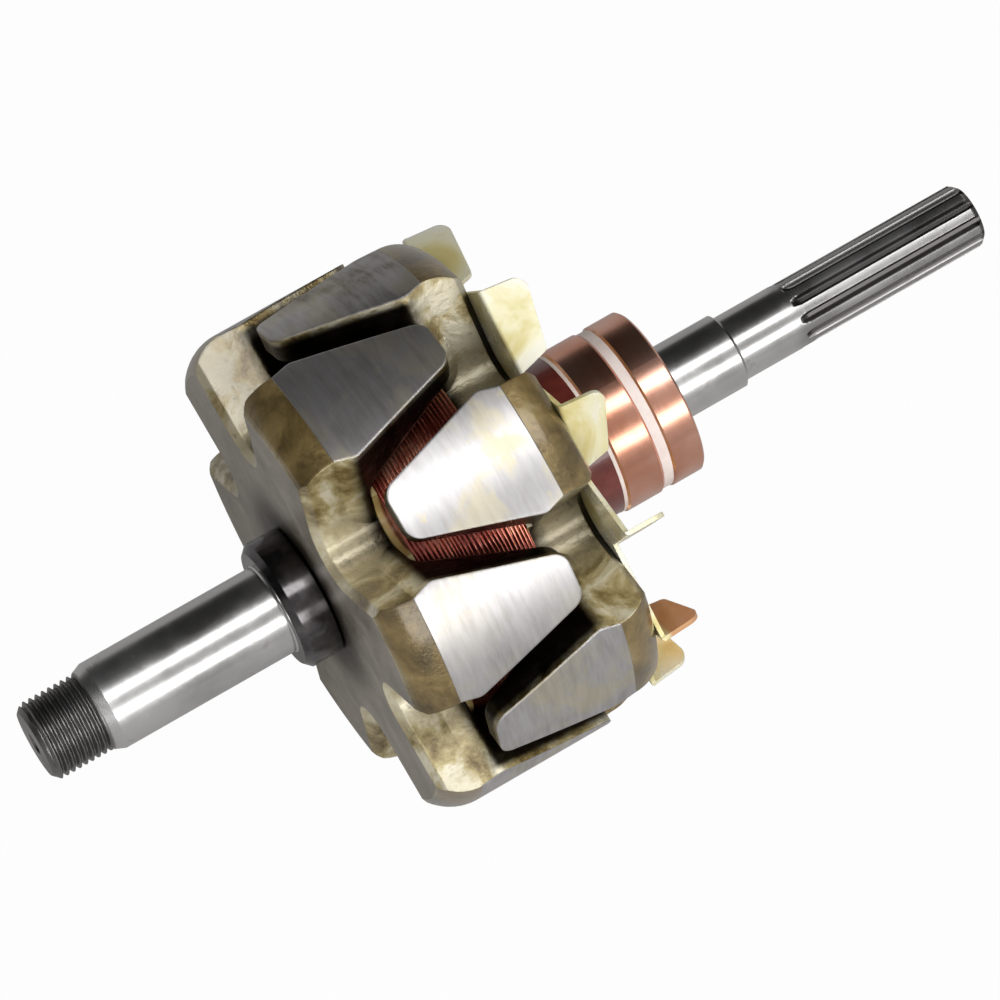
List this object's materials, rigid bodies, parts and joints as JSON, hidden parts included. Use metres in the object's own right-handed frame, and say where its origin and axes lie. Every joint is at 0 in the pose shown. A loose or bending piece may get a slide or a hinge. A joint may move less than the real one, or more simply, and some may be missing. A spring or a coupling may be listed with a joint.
{
  "type": "alternator rotor",
  "caption": "Claw-pole alternator rotor: long shaft with threaded and splined ends, interlocking claws round a coil, rear fan and two slip rings.",
  "frame": {"origin": "on the shaft's centreline at the front face of the spacer collar, the shoulder that the front bearing seats against", "axes": "+X along the shaft towards the slip rings and the splined end, -X towards the thread, +Z square to it, 15 degrees from the middle of the nearest front claw and of the nearest rear claw"},
  "size_m": [0.2304, 0.1114, 0.1114],
  "materials": {
    "ground_steel": "ground bright",
    "blackened_steel": "blackened, smooth",
    "pole_steel": "forged, turned outside, varnished",
    "core_steel": "forged",
    "bobbin_resin": "moulded, varnished",
    "varnished_copper": "dark red glossy varnish",
    "chromated_sheet": "pale yellow chromate",
    "ring_moulding": "moulded",
    "insulating_washer": "smooth",
    "ring_copper": "polished copper",
    "lead_copper": "enamelled copper",
    "sleeve": "varnished glass sleeve",
    "terminal_tin": "tinned"
  },
  "bodies": {
    "root": {"rotor_shaft": "ground_steel", "front_spacer_collar": "blackened_steel", "front_claw_pole": "pole_steel", "rear_claw_pole": "pole_steel", "pole_core": "core_steel", "coil_bobbin": "bobbin_resin", "field_winding": "varnished_copper", "rear_fan": "chromated_sheet", "slip_ring_body": "ring_moulding", "inner_edge_washer": "insulating_washer", "inner_slip_ring": "ring_copper", "ring_spacer": "insulating_washer", "outer_slip_ring": "ring_copper", "lead_wire_a": "lead_copper", "lead_wire_b": "lead_copper", "lead_sleeve_a": "sleeve", "lead_sleeve_b": "sleeve", "lead_terminal_a": "terminal_tin", "lead_terminal_b": "terminal_tin"}
  },
  "joints": []
}
